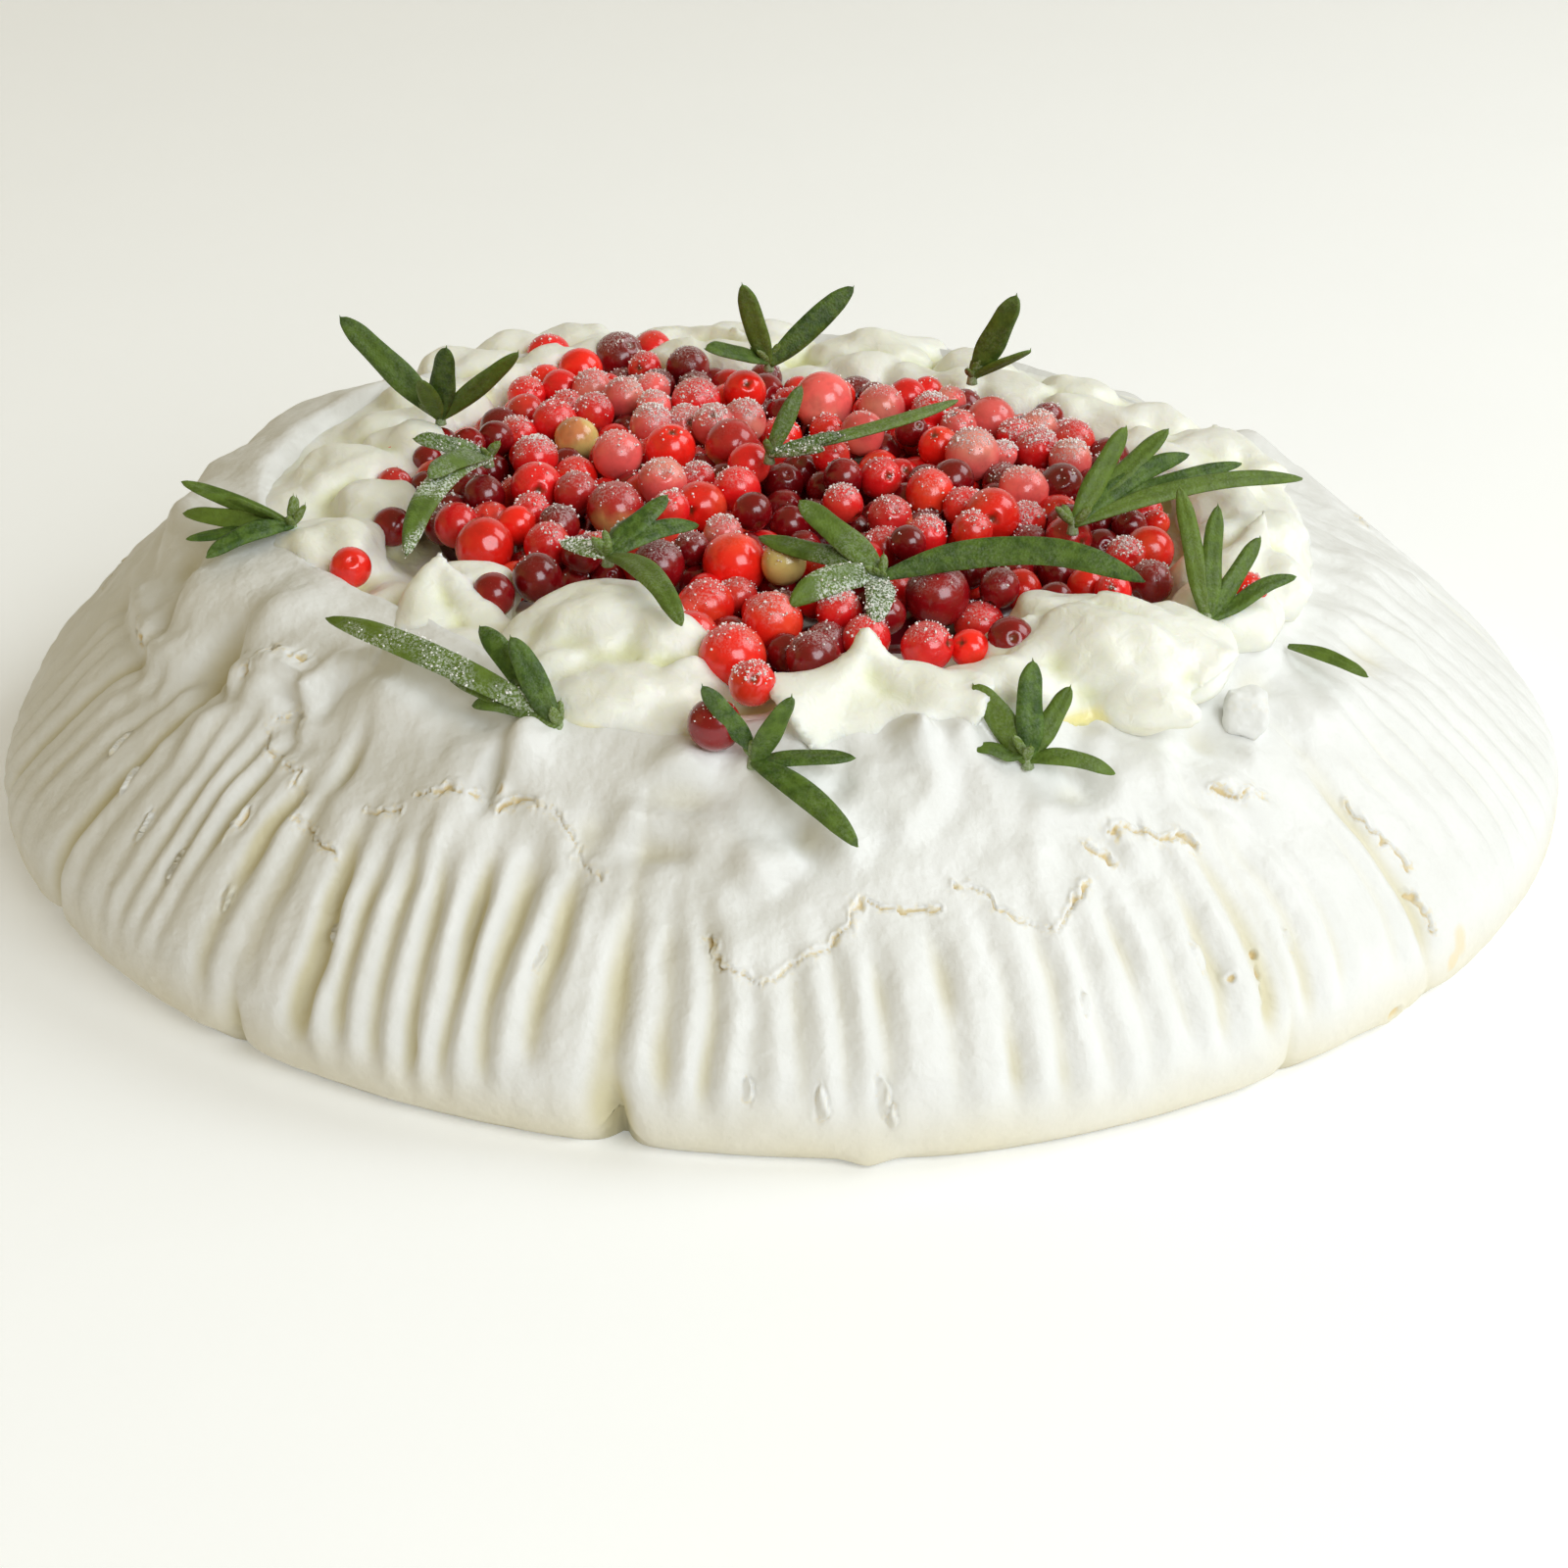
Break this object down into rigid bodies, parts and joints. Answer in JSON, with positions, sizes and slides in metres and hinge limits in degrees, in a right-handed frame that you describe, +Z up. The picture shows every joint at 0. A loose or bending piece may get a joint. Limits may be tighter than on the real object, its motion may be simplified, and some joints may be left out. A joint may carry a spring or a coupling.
{
  "type": "pavlova",
  "caption": "Round meringue cake with fluted sides, whipped cream in its hollow, a heap of small red berries and sprigs of rosemary; sits flat on a plate.",
  "frame": {"origin": "centre of the object's bounding box, on the plane it rests on", "axes": "+Z up, -Y towards the side with the tall swirls of cream at the front of the picture, +X to that view's right"},
  "size_m": [0.251, 0.2476, 0.0776],
  "materials": {
    "meringue": "dry baked meringue, dull satin",
    "whipped_cream": "soft whipped cream, moist",
    "berry_skin": "glossy red berry skin dusted with sugar",
    "rosemary_green": "fresh rosemary leaf, dull"
  },
  "bodies": {
    "root": {"berry_front_high": "berry_skin", "berry_front_low": "berry_skin", "berry_front_right": "berry_skin", "berry_heap": "berry_skin", "berry_left": "berry_skin", "berry_left_front": "berry_skin", "berry_right": "berry_skin", "cream": "whipped_cream", "meringue": "meringue", "rosemary_01": "rosemary_green", "rosemary_02": "rosemary_green", "rosemary_03": "rosemary_green", "rosemary_04": "rosemary_green", "rosemary_05": "rosemary_green", "rosemary_06": "rosemary_green", "rosemary_07": "rosemary_green", "rosemary_08": "rosemary_green", "rosemary_09": "rosemary_green", "rosemary_10": "rosemary_green", "rosemary_11": "rosemary_green", "rosemary_12": "rosemary_green", "rosemary_13": "rosemary_green", "rosemary_leaf": "rosemary_green"}
  },
  "joints": []
}
